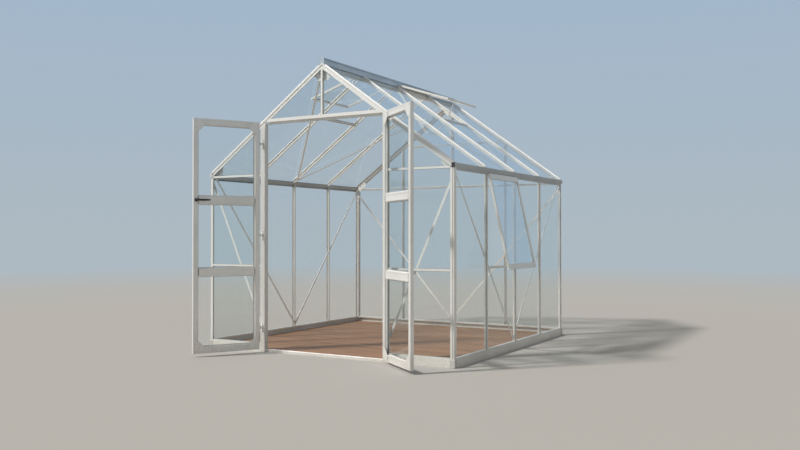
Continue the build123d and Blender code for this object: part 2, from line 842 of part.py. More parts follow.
def door_corner_plates():
    """Five-sided plates over the corners of a leaf, on its inner face."""
    y = -half_d + door_deep + seat + plate_thick
    near = corner_plate_inset
    far = corner_plate
    end = corner_plate_end
    shape = ((near, near), (far, near), (far, end), (end, far), (near, far))
    plates = []
    for x, dx in ((leaf_outer, -1), (leaf_inner, 1)):
        for z, dz in ((door_bottom, 1), (door_top, -1)):
            points = [(x + dx * u, z + dz * v) for u, v in shape]
            plates.append(wall_sheet(points, y, plate_thick))
    return plates


def door_handle():
    """Lever handles on both faces of the leaf, at the upper middle rail by the free stile."""
    x = leaf_inner + stile_wide / 2
    handles = []
    for face, out in ((-half_d + door_deep + seat, 1), (-half_d - seat, -1)):
        place = Plane(origin=(x, face, upper_mid_rail), x_dir=(1, 0, 0), z_dir=(0, out, 0))
        handle = place * extrude(Circle(rose_radius), amount=rose_thick)
        handle += place * extrude(Circle(lever_tall / 2 - 1), amount=rose_thick + lever_neck)
        half = lever_tall / 2
        lever = block((-half, -half, lever_neck), (lever_length - half, half, lever_neck + lever_thick))
        lever = fillet(lever.edges().filter_by(Axis.Z), half - 1)
        handles.append(handle + place * lever)
    return handles


def hinge_moving():
    """Door half of each hinge: a plate on the leaf, and an arm out to the middle knuckle."""
    parts = []
    third = hinge_tall / 3
    half = hinge_tall / 2
    face = -half_d - seat
    for z in hinge_heights:
        part = block((leaf_outer - hinge_leaf, face - wall, z - half), (leaf_outer, face, z + half))
        low = z - third / 2 + seat
        high = z + third / 2 - seat
        part += block((leaf_outer - wall, face - wall, low), (hinge_x, face, high))
        part += Pos(hinge_x, hinge_y, z) * Cylinder(knuckle_radius, high - low)
        part -= Pos(hinge_x, hinge_y, z) * Cylinder(pin_radius + pin_play, hinge_tall)
        parts.append(part)
    return parts


def hinge_fixed():
    """Post half of each hinge: a plate notched for the arm, the outer knuckles and the pin."""
    parts = []
    third = hinge_tall / 3
    half = hinge_tall / 2
    face = -half_d - seat
    start = post_half + hinge_margin
    notch = hinge_x + knuckle_radius + edge_gap
    for z in hinge_heights:
        part = block((start, face - wall, z - half), (post_outer - hinge_margin, face, z + half))
        part -= block((start, face - wall, z - third / 2), (notch, face, z + third / 2))
        part += Pos(hinge_x, hinge_y, z) * Cylinder(pin_radius, hinge_tall)
        for middle in (z - third, z + third):
            part += Pos(hinge_x, hinge_y, middle) * Cylinder(knuckle_radius, third)
        parts.append(part)
    return parts


def doors():
    pieces = {"frame": door_stiles() + door_rails(), "glass": door_panes(),
              "corner_plates": door_corner_plates(), "hinge_leaves": hinge_moving()}
    for side in ("left", "right"):
        for name, shapes in pieces.items():
            save(f"{side}_door_{name}", *[swing(shape, side) for shape in shapes])
    save("left_door_handle", *[swing(shape, "left") for shape in door_handle()])
    fixed = hinge_fixed()
    save("door_post_hinges", *fixed, *[left_of(shape) for shape in fixed])


base_rails()
corner_brackets()
floor_and_threshold()
corner_posts()
side_wall_bars()
back_wall_bars()
door_posts()
header_and_king_post()
wall_rails()
gable_rafters()
roof_bars()
ridge()
gutters()
save("wall_braces", *side_wall_braces(), *gable_wall_braces())
roof_braces()
joint_plates()
side_wall_glass()
gable_glass()
sashes()
roof_glass()
doors()
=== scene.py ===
# Finishes, floor boards, strips, fastenings and fittings of an aluminium and glass greenhouse.

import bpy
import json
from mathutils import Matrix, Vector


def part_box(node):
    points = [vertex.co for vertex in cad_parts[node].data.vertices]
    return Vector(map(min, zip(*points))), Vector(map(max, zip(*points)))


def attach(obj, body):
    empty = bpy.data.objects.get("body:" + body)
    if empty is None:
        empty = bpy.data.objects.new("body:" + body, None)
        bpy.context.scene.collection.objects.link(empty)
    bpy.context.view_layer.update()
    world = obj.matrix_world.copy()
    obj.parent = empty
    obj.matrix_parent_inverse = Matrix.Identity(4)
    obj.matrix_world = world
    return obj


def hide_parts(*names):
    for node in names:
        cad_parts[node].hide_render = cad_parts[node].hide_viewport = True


bl_info = {
    "name": "Glass greenhouse finish",
    "version": (1, 0, 0),
    "blender": (4, 5, 0),
    "location": "View3D > Sidebar > Greenhouse",
    "description": "Finishes, boards, strips and fastenings of a glass greenhouse",
    "category": "Object",
}

import json
import math

import bmesh
import bpy
from bpy.props import FloatProperty, FloatVectorProperty, IntProperty, PointerProperty
from mathutils import Matrix, Vector

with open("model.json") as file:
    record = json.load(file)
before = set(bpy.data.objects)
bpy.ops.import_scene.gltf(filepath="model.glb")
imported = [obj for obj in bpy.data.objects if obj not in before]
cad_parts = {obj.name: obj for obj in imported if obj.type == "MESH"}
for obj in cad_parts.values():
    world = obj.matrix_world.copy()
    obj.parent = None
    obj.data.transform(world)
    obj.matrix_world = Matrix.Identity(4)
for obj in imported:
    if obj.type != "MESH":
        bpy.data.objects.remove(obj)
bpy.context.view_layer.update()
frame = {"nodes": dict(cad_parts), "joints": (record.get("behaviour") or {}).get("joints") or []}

# Sizes of the frame's sections in metres, which the nodes' boxes don't give

seat = 0.0002  # play between two pieces that lie on each other
plate = 0.002  # thickness of joint and hinge plates
lip = 0.010  # width of a door post's lip
bar_half = 0.010  # half the width of a glazing bar's outer face
rail_half = 0.011  # half the height of a glazing rail
post_leg = 0.038  # width of a corner post's or rafter's face
rafter_leg = 0.041  # height of a rafter
brace_in = 0.0312  # from a wall's outer face to the inner face of its braces
hinge_half = 0.039  # half the height of a hinge
door_rails = (0.733, 1.361)  # middle heights of the leaves' inner rails

# The frame's lines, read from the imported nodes

half_w, half_d, post_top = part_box("corner_posts")[1]
gutter_bottom = post_top + seat
eave_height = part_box("gutter_end_caps")[1].z
apex_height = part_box("ridge_beam")[1].z
slope = math.atan2(apex_height - eave_height, half_w)
frame_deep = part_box("front_king_post")[1].y + half_d
base_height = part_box("base_rails")[1].z
bars_x = (-half_w / 2, 0.0, half_w / 2)
bars_y = (-half_d / 2, 0.0, half_d / 2)
mid_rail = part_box("front_wall_rails")[0].z + rail_half
eave_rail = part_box("front_wall_rails")[1].z - rail_half
upper_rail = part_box("back_wall_rails")[1].z - rail_half
post_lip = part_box("door_posts")[1].x
post_outer = post_lip - lip
header_low, header_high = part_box("door_header")
post_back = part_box("corner_posts")[0].y + header_high.y - header_low.y
door_joints = {joint["child"]: joint for joint in frame["joints"]}
hinge_axis = Vector(door_joints["right_door"]["pos_m"])
hinge_heights = (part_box("door_post_hinges")[0].z + hinge_half, hinge_axis.z,
                 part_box("door_post_hinges")[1].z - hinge_half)

X, Y = Vector((1, 0, 0)), Vector((0, 1, 0))
roof_out = Vector((math.sin(slope), 0, math.cos(slope)))
roof_down = Vector((math.cos(slope), 0, -math.sin(slope)))
roof_start = 0.036  # down the slope, under the ridge cap's lip
roof_end = (half_w - 0.016) / math.cos(slope)  # and at the panes' lower edge


# Sizes and colours that a user would change


class FloorSettings(bpy.types.PropertyGroup):
    board_width: FloatProperty(
        name="Board width", description="Width of a floor board with its gap", default=0.145,
        unit="LENGTH")
    gap: FloatProperty(
        name="Gap", description="Gap between two boards at the top", default=0.005, unit="LENGTH")
    groove_depth: FloatProperty(
        name="Groove depth", description="Depth of the gap down to the tongue", default=0.008,
        unit="LENGTH")
    easing: FloatProperty(
        name="Easing", description="Rounding of the boards' upper edges", default=0.0015,
        unit="LENGTH")
    joists: IntProperty(
        name="Joists", description="Lines of screws across the boards", default=7, min=2)
    colour: FloatVectorProperty(
        name="Timber", description="Middle colour of the boards", subtype="COLOR",
        default=(0.38, 0.205, 0.105), min=0, max=1)


class FasteningSettings(bpy.types.PropertyGroup):
    bolt: FloatProperty(
        name="Bolt", description="Diameter of the frame's bolts", default=0.006, unit="LENGTH")
    screw_head: FloatProperty(
        name="Screw head", description="Diameter of a screw's head", default=0.0085,
        unit="LENGTH")
    colour: FloatVectorProperty(
        name="Zinc", description="Colour of bolts and screws", subtype="COLOR",
        default=(0.62, 0.63, 0.64), min=0, max=1)


class StripSettings(bpy.types.PropertyGroup):
    width: FloatProperty(
        name="Strip width", description="Width of a glazing strip's lip", default=0.0016,
        unit="LENGTH")
    roof_width: FloatProperty(
        name="Roof strip width", description="Width of a strip beside a roof bar", default=0.0055,
        unit="LENGTH")
    colour: FloatVectorProperty(
        name="Rubber", description="Colour of the glazing strips", subtype="COLOR",
        default=(0.16, 0.16, 0.155), min=0, max=1)
    cap_width: FloatProperty(
        name="Cap width", description="Width of the caps over bars and rafters", default=0.021,
        unit="LENGTH")
    cap_height: FloatProperty(
        name="Cap height", description="Height of the caps over bars and rafters", default=0.0085,
        unit="LENGTH")
    roof_colour: FloatVectorProperty(
        name="Roof strip", description="Colour of the roof's strips", subtype="COLOR",
        default=(0.93, 0.93, 0.91), min=0, max=1)


class FinishSettings(bpy.types.PropertyGroup):
    metal: FloatVectorProperty(
        name="Aluminium", description="Colour of the mill aluminium", subtype="COLOR",
        default=(0.89, 0.88, 0.855), min=0, max=1)
    metal_dull: FloatVectorProperty(
        name="Dull aluminium", description="Colour of its dull streaks", subtype="COLOR",
        default=(0.70, 0.685, 0.64), min=0, max=1)
    dust: FloatVectorProperty(
        name="Dust", description="Colour of the dust near the ground", subtype="COLOR",
        default=(0.50, 0.44, 0.37), min=0, max=1)
    glass: FloatVectorProperty(
        name="Glass", description="Tint of the light that the glass lets through",
        subtype="COLOR", default=(0.975, 0.985, 0.985), min=0, max=1)
    plastic: FloatVectorProperty(
        name="Plastic", description="Colour of the handle and end caps", subtype="COLOR",
        default=(0.02, 0.02, 0.022), min=0, max=1)


class StageSettings(bpy.types.PropertyGroup):
    floor: FloatVectorProperty(
        name="Floor", description="Colour of the studio floor", subtype="COLOR",
        default=(0.46, 0.445, 0.42), min=0, max=1)
    horizon: FloatVectorProperty(
        name="Horizon", description="Backdrop at the horizon", subtype="COLOR",
        default=(0.42, 0.49, 0.54), min=0, max=1)
    zenith: FloatVectorProperty(
        name="Zenith", description="Backdrop overhead", subtype="COLOR",
        default=(0.26, 0.44, 0.70), min=0, max=1)
    fill: FloatProperty(
        name="Fill", description="Strength of the light from all round", default=0.36, min=0)
    key: FloatProperty(
        name="Key", description="Strength of the lamp from the front left", default=3.2, min=0)
    camera_place: FloatVectorProperty(
        name="Camera", description="Place of the camera", default=(4.213, -7.235, 1.062),
        subtype="TRANSLATION", unit="LENGTH")
    camera_turn: FloatProperty(
        name="Turn", description="Turn of the camera about the upright",
        default=math.radians(29.93), subtype="ANGLE", unit="ROTATION")
    camera_rise: FloatProperty(
        name="Rise", description="Tilt of the camera above the level", default=math.radians(0.64),
        subtype="ANGLE", unit="ROTATION")
    lens: FloatProperty(
        name="Lens", description="Focal length in millimetres on a 36 mm sensor", default=37.60,
        min=1)


class GreenhouseSettings(bpy.types.PropertyGroup):
    floor: PointerProperty(type=FloorSettings)
    fastening: PointerProperty(type=FasteningSettings)
    strip: PointerProperty(type=StripSettings)
    finish: PointerProperty(type=FinishSettings)
    stage: PointerProperty(type=StageSettings)


def settings():
    return bpy.context.scene.greenhouse


# Finishes


class Number:
    """A socket of a finish. Sums on it add Math nodes."""

    def __init__(self, finish, socket):
        self.finish = finish
        self.socket = socket

    def math(self, operation, *values, clamp=False):
        return self.finish.node("ShaderNodeMath", {"operation": operation, "use_clamp": clamp},
                                dict(enumerate(values)))

    def __add__(self, other):
        return self.math("ADD", self, other)

    __radd__ = __add__

    def __sub__(self, other):
        return self.math("SUBTRACT", self, other)

    def __rsub__(self, other):
        return self.math("SUBTRACT", other, self)

    def __mul__(self, other):
        return self.math("MULTIPLY", self, other)

    __rmul__ = __mul__

    def __truediv__(self, other):
        return self.math("DIVIDE", self, other)

    def __pow__(self, other):
        return self.math("POWER", self, other)

    def clamped(self):
        return self.math("ADD", self, 0.0, clamp=True)


def socket_of(sockets, key):
    """One of a node's live sockets, by its name or its place."""
    live = [socket for socket in sockets if socket.enabled]
    return live[key] if isinstance(key, int) else next(s for s in live if s.name == key)


class Finish:
    """A material or world whose nodes are added one by one."""

    def __init__(self, owner):
        owner.use_nodes = True
        self.owner = owner
        self.tree = owner.node_tree
        self.tree.nodes.clear()

    def node(self, kind, setup=None, inputs=None, output=0):
        """Add a node: its settings first, then the values or links of its sockets."""
        made = self.tree.nodes.new(kind)
        for key, value in (setup or {}).items():
            if key == "stops":
                self.set_stops(made.color_ramp, value)
            else:
                setattr(made, key, value)
        for key, value in (inputs or {}).items():
            socket = socket_of(made.inputs, key)
            if isinstance(value, Number):
                self.tree.links.new(value.socket, socket)
            else:
                socket.default_value = value
        return Number(self, socket_of(made.outputs, output)) if made.outputs else made

    def set_stops(self, ramp, stops):
        while len(ramp.elements) < len(stops):
            ramp.elements.new(1.0)
        for element, (place, level) in zip(ramp.elements, stops):
            element.position = place
            element.color = (level, level, level, 1.0)

    def place(self, scale=(1, 1, 1), sloped=False):
        """Object coordinates, stretched. Sloped ones turn first: X runs down either slope."""
        where = self.node("ShaderNodeTexCoord", output="Object")
        if sloped:
            right_side = self.node("ShaderNodeVectorMath", {"operation": "ABSOLUTE"}, {0: where})
            where = self.node("ShaderNodeMapping", inputs={"Vector": right_side,
                                                           "Rotation": (0, -slope, 0)})
        return self.node("ShaderNodeMapping", inputs={"Vector": where, "Scale": scale})

    def axis(self, name):
        """One of the Object coordinates."""
        coordinates = self.node("ShaderNodeTexCoord", output="Object")
        return self.node("ShaderNodeSeparateXYZ", inputs={"Vector": coordinates}, output=name)

    def noise(self, place, scale=1.0, detail=3.0, roughness=0.55):
        return self.node("ShaderNodeTexNoise", output="Fac", inputs={
            "Vector": place, "Scale": scale, "Detail": detail, "Roughness": roughness})

    def ramp(self, value, *stops):
        return self.node("ShaderNodeValToRGB", {"stops": stops}, {"Fac": value})

    def mix(self, factor, first, second):
        """Blend two colours."""
        colours = [tone if isinstance(tone, Number) else (*tone, 1.0) for tone in (first, second)]
        return self.node("ShaderNodeMix", {"data_type": "RGBA"},
                         {"Factor": factor, "A": colours[0], "B": colours[1]})

    def bump(self, height, strength, distance):
        return self.node("ShaderNodeBump", inputs={"Strength": strength, "Distance": distance,
                                                   "Height": height})

    def close(self, shader, kind="ShaderNodeOutputMaterial"):
        """Link the shader to the output, and give the material or world."""
        self.node(kind, inputs={"Surface": shader})
        return self.owner

    def surface(self, base, roughness, metallic=0.0, normal=None):
        """Close the finish with one Principled shader."""
        inputs = {"Base Color": base, "Roughness": roughness, "Metallic": metallic}
        if normal:
            inputs["Normal"] = normal
        return self.close(self.node("ShaderNodeBsdfPrincipled", inputs=inputs))


def finish_named(name):
    return Finish(bpy.data.materials.new(name))


def aluminium(name, along, sloped=False, tone=1.0):
    """Mill aluminium, with drawing streaks along one direction and dust near the ground."""
    colours = settings().finish
    # The tone scales both colours; frame_finishes lowers it on some pieces as painted shade and
    # raises it on others as a painted highlight.
    bright, dim = Vector(colours.metal) * tone, Vector(colours.metal_dull) * tone
    f = finish_named(name)
    streak_scale = tuple(5.0 if axis else 420.0 for axis in along)
    streaks = f.noise(f.place(streak_scale, sloped), detail=2.0)
    cloud = f.noise(f.place(), scale=2.3, detail=4.0)
    spots = f.noise(f.place(), scale=55.0, detail=3.0)
    dull = f.ramp(streaks * 0.5 + cloud * 0.35 + spots * 0.15, (0.36, 0.0), (0.66, 1.0))
    metal = f.mix(dull, bright, dim)
    dusty = 0.30
    near_ground = ((dusty - f.axis("Z")) / dusty).clamped() ** 2.0
    patchy = f.ramp(cloud * 0.5 + spots * 0.5, (0.35, 0.2), (0.65, 1.0))
    dust = (near_ground * patchy * 0.55).clamped()
    base = f.mix(dust, metal, colours.dust)
    roughness = 0.34 + dull * 0.12 + dust * 0.25
    normal = f.bump(streaks * 0.85 + spots * 0.08, 0.12, 0.0004)
    return f.surface(base, roughness, 0.25, normal)


def ridge_metal():
    """The ridge cap's aluminium, which mirrors the sky; its darker, bluer colour is painted shade
    and painted sky reflection.
    """
    f = finish_named("aluminium_ridge")
    streaks = f.noise(f.place((420.0, 4.0, 420.0)), detail=2.0)
    cloud = f.noise(f.place(), scale=3.1, detail=4.0)
    dull = f.ramp(streaks * 0.6 + cloud * 0.4, (0.38, 0.0), (0.64, 1.0))
    # Darker blue-grey colours: painted shade and painted sky reflection, not the metal's own
    # colour.
    base = f.mix(dull, (0.60, 0.655, 0.69), (0.44, 0.48, 0.505))
    return f.surface(base, 0.30 + dull * 0.14, 0.75, f.bump(streaks, 0.15, 0.0004))


def hinge_metal():
    """Pale cast hinges, slightly brighter than the frame."""
    colours = settings().finish
    f = finish_named("hinge_metal")
    grain = f.noise(f.place(), scale=160.0, detail=4.0)
    wear = f.ramp(f.noise(f.place(), scale=24.0), (0.42, 0.0), (0.62, 1.0))
    base = f.mix(wear, (0.95, 0.95, 0.93), colours.metal_dull)
    return f.surface(base, 0.36 + grain * 0.16, 0.15, f.bump(grain, 0.15, 0.0003))


def glass(name="clear_glass", mirror=0.02):
    """Clear horticultural glass: see-through, glossy at a low angle, with a trace of dust."""
    f = finish_named(name)
    facing = f.node("ShaderNodeLayerWeight", inputs={"Blend": 0.5}, output="Facing")
    haze = f.ramp(f.noise(f.place(), scale=1.7, detail=5.0), (0.40, 0.0), (0.75, 1.0))
    clear = f.node("ShaderNodeBsdfTransparent", inputs={"Color": (*settings().finish.glass, 1.0)})
    shine = f.node("ShaderNodeBsdfPrincipled", inputs={
        "Base Color": f.mix(haze, (0.78, 0.87, 0.92), (0.86, 0.90, 0.92)), "Metallic": 1.0,
        "Roughness": 0.03 + haze * 0.05})
    share = (mirror + 0.55 * facing ** 5.0 + haze * 0.012).clamped()
    return f.close(f.node("ShaderNodeMixShader", inputs={0: share, 1: clear, 2: shine}))


def timber():
    """Oiled softwood boards along X, each with its own tone and grain."""
    floor = settings().floor
    f = finish_named("oiled_boards")
    tone = Vector(floor.colour)
    low, pitch = board_lines()[:2]
    board = (f.axis("Y") - low) / pitch
    index = board.math("FLOOR", board)
    hue = f.node("ShaderNodeTexWhiteNoise", {"noise_dimensions": "1D"}, {"W": index},
                 output="Value")
    shifted = f.node("ShaderNodeVectorMath", {"operation": "ADD"}, {0: f.place((1.2, 26.0, 26.0)),
                     1: f.node("ShaderNodeCombineXYZ", inputs={"X": hue * 37.0, "Y": hue * 11.0})})
    grain = f.noise(shifted, scale=1.0, detail=6.0, roughness=0.62)
    fine = f.noise(f.place((9.0, 420.0, 420.0)), detail=3.0)
    wood = f.mix(f.ramp(grain, (0.34, 0.0), (0.68, 1.0)), tone * 0.66, tone * 1.28)
    wood = f.mix(hue * 0.38, wood, tone * 0.72)
    wood = f.mix(f.ramp(fine, (0.40, 0.0), (0.62, 0.35)), wood, tone * 0.5)
    normal = f.bump(grain * 0.5 + fine * 0.5, 0.35, 0.0008)
    return f.surface(wood, 0.50 + fine * 0.22, normal=normal)


def plastic():
    """Moulded black plastic with a fine texture."""
    f = finish_named("black_plastic")
    tone = Vector(settings().finish.plastic)
    grain = f.noise(f.place(), scale=900.0, detail=2.0)
    worn = f.ramp(f.noise(f.place(), scale=30.0), (0.45, 0.0), (0.7, 1.0))
    base = f.mix(worn, tone, tone * 2.2)
    return f.surface(base, 0.42 + worn * 0.15, normal=f.bump(grain, 0.25, 0.0002))


def end_cap_plastic():
    """The end caps' plastic: black on the right gutter and pale grey on the left one."""
    f = finish_named("end_cap_plastic")
    tone = Vector(settings().finish.plastic)
    across = f.axis("X")
    left = across.math("LESS_THAN", across, 0.0)
    worn = f.ramp(f.noise(f.place(), scale=60.0), (0.40, 0.0), (0.68, 1.0))
    black = f.mix(worn, tone, tone * 2.2)
    grey = f.mix(worn, (0.60, 0.62, 0.64), (0.48, 0.49, 0.50))
    return f.surface(f.mix(left, black, grey), 0.42 + worn * 0.15)


def strip_finish(name, tone, chalky):
    """A dull glazing strip, a little chalky."""
    f = finish_named(name)
    tone = Vector(tone)
    chalk = f.ramp(f.noise(f.place(), scale=18.0, detail=4.0), (0.42, 0.0), (0.68, 1.0))
    return f.surface(f.mix(chalk, tone, tone * chalky), 0.55 + chalk * 0.2)


def rubber():
    return strip_finish("strip_rubber", settings().strip.colour, 1.7)


def roof_strip_finish():
    return strip_finish("strip_pale", settings().strip.roof_colour, 0.86)


def zinc():
    """Bright zinc plate on bolts and screws, with dull patches."""
    f = finish_named("zinc_plate")
    tone = Vector(settings().fastening.colour)
    patch = f.ramp(f.noise(f.place(), scale=140.0, detail=3.0), (0.40, 0.0), (0.66, 1.0))
    return f.surface(f.mix(patch, tone, tone * 0.72), 0.26 + patch * 0.2, 0.9)


def dress(piece, material):
    """Put one finish on a piece."""
    piece.data.materials.clear()
    piece.data.materials.append(material)


def found(name, make):
    """The finish with that name, made the first time it is asked for."""
    return bpy.data.materials.get(name) or make()


# Modelling tools


def begin():
    """Leave edit mode and select nothing."""
    if bpy.context.object and bpy.context.object.mode != "OBJECT":
        bpy.ops.object.mode_set(mode="OBJECT")
    bpy.ops.object.select_all(action="DESELECT")


def named(name):
    """Name the new primitive and put its place into its mesh."""
    piece = bpy.context.object
    piece.name = name
    piece.data.name = name
    bpy.ops.object.transform_apply(location=True, rotation=True, scale=True)
    return piece


def block(name, low, high):
    """A block between two corners."""
    begin()
    middle = [(a + b) / 2 for a, b in zip(low, high)]
    size = [b - a for a, b in zip(low, high)]
    bpy.ops.mesh.primitive_cube_add(size=1, location=middle, scale=size)
    return named(name)


def drum(name, radius, low, high, sides=12):
    """A round bar along Z, from one height to another."""
    begin()
    bpy.ops.mesh.primitive_cylinder_add(vertices=sides, radius=radius, depth=high - low,
                                        location=(0, 0, (low + high) / 2))
    return named(name)


def pick(piece, part, test):
    """In edit mode, select the faces, edges or vertices that pass a test, and nothing else."""
    if piece.mode != "EDIT":
        bpy.ops.object.mode_set(mode="EDIT")
    bpy.ops.mesh.select_mode(type={"faces": "FACE", "edges": "EDGE", "verts": "VERT"}[part])
    bpy.ops.mesh.select_all(action="DESELECT")
    mesh = bmesh.from_edit_mesh(piece.data)
    for item in getattr(mesh, part):
        if test(item):
            item.select_set(True)
    mesh.select_flush_mode()
    bmesh.update_edit_mesh(piece.data)


def pick_top(piece):
    """Select the faces that look straight up."""
    pick(piece, "faces", lambda face: face.normal.z > 0.9)


def pick_rim(piece, height):
    """Select the edges round the top, at that height."""
    pick(piece, "edges", lambda edge: all(v.co.z > height - 1e-5 for v in edge.verts))


def middle_of(item):
    """The middle of an edge or a face."""
    return sum((v.co for v in item.verts), Vector()) / len(item.verts)


def extrude(move):
    bpy.ops.mesh.extrude_region_move(TRANSFORM_OT_translate={"value": move})


def inset(thickness, depth=0.0):
    bpy.ops.mesh.inset(thickness=thickness, depth=depth)


def bevel(offset, segments=1):
    bpy.ops.mesh.bevel(offset=offset, segments=segments, affect="EDGES")


def leave_edit():
    bpy.ops.object.mode_set(mode="OBJECT")


def copies(name, model, places):
    """Copies of a model at each place, joined into one piece. The model itself goes."""
    made = []
    for place in places:
        copy = model.copy()
        copy.data = model.data.copy()
        copy.data.transform(place)
        if place.determinant() < 0:
            copy.data.flip_normals()
        bpy.context.collection.objects.link(copy)
        made.append(copy)
    bpy.data.objects.remove(model)
    return joined(name, made)


def joined(name, pieces):
    begin()
    for piece in pieces:
        piece.select_set(True)
    bpy.context.view_layer.objects.active = pieces[0]
    if len(pieces) > 1:
        bpy.ops.object.join()
    piece = bpy.context.view_layer.objects.active
    piece.name = name
    piece.data.name = name
    return piece


def apply_all(piece):
    """Apply a piece's modifiers in order."""
    bpy.context.view_layer.objects.active = piece
    for modifier in list(piece.modifiers):
        bpy.ops.object.modifier_apply(modifier=modifier.name)


def smooth(piece, angle=35.0):
    begin()
    piece.select_set(True)
    bpy.context.view_layer.objects.active = piece
    bpy.ops.object.shade_smooth_by_angle(angle=math.radians(angle))


def finish_piece(piece, body, slot, material, *nodes):
    """Dress a piece, parent it to its body's empty, and hide the nodes that it stands for."""
    dress(piece, material)
    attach(piece, body)
    if nodes:
        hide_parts(*nodes)


def stand(point, up, along=None):
    """A place whose Z axis is up and whose X axis is near along."""
    z = Vector(up).normalized()
    guide = Vector(along) if along is not None else (X if abs(z.x) < 0.9 else Y)
    y = z.cross(guide).normalized()
    x = y.cross(z)
    turn = Matrix((x, y, z)).transposed().to_4x4()
    return Matrix.Translation(Vector(point)) @ turn


def roof_z(x, below=0.0):
    return apex_height - abs(x) * math.tan(slope) - below / math.cos(slope)


def on_roof(down, y, out=0.0):
    """A point on the right slope, from its distance down from the ridge line."""
    return Vector((0, y, apex_height)) + roof_down * down + roof_out * out


def roof_line(y):
    """Both ends of a line down the right slope, from the ridge cap to the gutter."""
    return on_roof(roof_start, y), on_roof(roof_end, y)


def mirror_x(place):
    """The same place on the other side of the middle."""
    return Matrix.Scale(-1, 4, X) @ place


def mirror_y(place):
    return Matrix.Scale(-1, 4, Y) @ place


def both(places, mirror):
    """The places and their mirror images."""
    return places + [mirror(place) for place in places]


def door_place(side):
    """From the closed right-hand leaf to where that side's leaf stands open."""
    joint = door_joints[f"{side}_door"]
    pivot = Vector(joint["pos_m"])
    turn = Matrix.Rotation(math.radians(-joint["range_deg"][0]), 4, Vector(joint["axis"]))
    place = Matrix.Translation(pivot) @ turn @ Matrix.Translation(-pivot)
    return place @ Matrix.Scale(-1, 4, X) if side == "left" else place


def closed_box(name, side="right"):
    """Lowest and highest corner of a leaf's node, with the leaf closed and on the right."""
    back = door_place(side).inverted()
    points = [back @ vertex.co for vertex in frame["nodes"][name].data.vertices]
    return [Vector([end(values) for values in zip(*points)]) for end in (min, max)]


# Floor


def board_lines():
    """Where the first board starts, the boards' pitch and their number."""
    low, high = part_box("timber_floor")
    span = high.y - low.y
    count = round(span / settings().floor.board_width)
    return low.y, span / count, count


def floor_boards():
    sizes = settings().floor
    low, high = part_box("timber_floor")
    start, pitch, count = board_lines()
    board = block("board", (low.x, start + seat, low.z),
                  (high.x, start + pitch - seat, high.z - sizes.groove_depth))
    pick_top(board)
    inset(sizes.gap / 2)
    extrude((0, 0, sizes.groove_depth))
    pick_rim(board, high.z)
    bevel(sizes.easing, 2)
    leave_edit()
    places = [Matrix.Translation((0, pitch * n, 0)) for n in range(count)]
    floor = copies("floor_boards", board, places)
    notch, past = post_outer + seat, 0.1
    cutter = block("cutter", (-notch, low.y - past, low.z - past),
                   (notch, post_back + seat, high.z + past))
    begin()
    floor.select_set(True)
    cut = floor.modifiers.new("doorway", "BOOLEAN")
    cut.operation = "DIFFERENCE"
    cut.solver = "EXACT"
    cut.object = cutter
    apply_all(floor)
    bpy.data.objects.remove(cutter)
    finish_piece(floor, "greenhouse_frame", "timber", found("oiled_boards", timber),
                 "timber_floor")


def screw(name="screw"):
    """A raised countersunk screw head with a cross recess, its axis along Z."""
    radius = settings().fastening.screw_head / 2
    head = drum(name, radius, -0.0004, 0.0006, sides=10)
    pick_top(head)
    inset(radius * 0.34, 0.0007)
    inset(radius * 0.26, 0.0002)
    inset(radius * 0.08, -0.0007)
    leave_edit()
    return head


def floor_screws():
    sizes = settings().floor
    low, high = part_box("timber_floor")
    start, pitch, count = board_lines()
    from_end, from_edge = 0.06, pitch * 0.2
    clear, sunk = 0.01, 0.0008
    step = (high.x - low.x - 2 * from_end) / (sizes.joists - 1)
    places = []
    for n in range(count):
        for side in (from_edge, pitch - from_edge):
            y = start + pitch * n + side
            for joist in range(sizes.joists):
                x = low.x + from_end + step * joist
                if y > post_back + clear or abs(x) > post_outer + clear:
                    places.append(Matrix.Translation((x, y, high.z - sunk)))
    screws = copies("floor_screws", screw(), places)
    finish_piece(screws, "greenhouse_frame", "hinge_metal", found("zinc_plate", zinc))


# Fastenings


def nut(name="nut"):
    """A washer, a nut and the end of its bolt, standing on Z = 0."""
    bolt = settings().fastening.bolt
    washer = drum(name, bolt * 1.15, 0.0, bolt * 0.2, sides=14)
    pick_top(washer)
    inset(bolt * 0.12)
    bpy.ops.mesh.select_all(action="DESELECT")
    bpy.ops.mesh.primitive_cylinder_add(vertices=6, radius=bolt * 0.95, depth=bolt * 0.8,
                                        location=(0, 0, bolt * 0.6))
    top = bolt - 1e-5
    pick(washer, "faces", lambda face: face.normal.z > 0.9 and middle_of(face).z > top)
    inset(bolt * 0.14, bolt * 0.06)
    inset(bolt * 0.24)
    extrude((0, 0, bolt * 0.45))
    inset(bolt * 0.1, bolt * 0.08)
    leave_edit()
    return washer


def wall_nuts():
    """Nuts along the uprights and rails of the four walls, on their inner faces."""
    inner = half_d - frame_deep
    foot, head = base_height + 0.016, gutter_bottom - 0.014
    beside, under_roof = 0.02, 0.06
    from_post, from_corner = 0.014, 0.052
    right = [stand((half_w - frame_deep, y, z), -X) for y in bars_y for z in (foot, head)]
    places = both(right, mirror_x) + [stand((x, inner, foot), -Y) for x in bars_x]
    for z in (upper_rail, eave_rail):
        for x in (bar + side for bar in bars_x for side in (-beside, beside)):
            if roof_z(x, under_roof) > z:
                places.append(stand((x, inner, z), -Y))
    for z in (mid_rail, eave_rail):
        for x in (post_lip + from_post, half_w - from_corner):
            places += [stand((s * x, -inner, z), Y) for s in (-1, 1)]
    return places


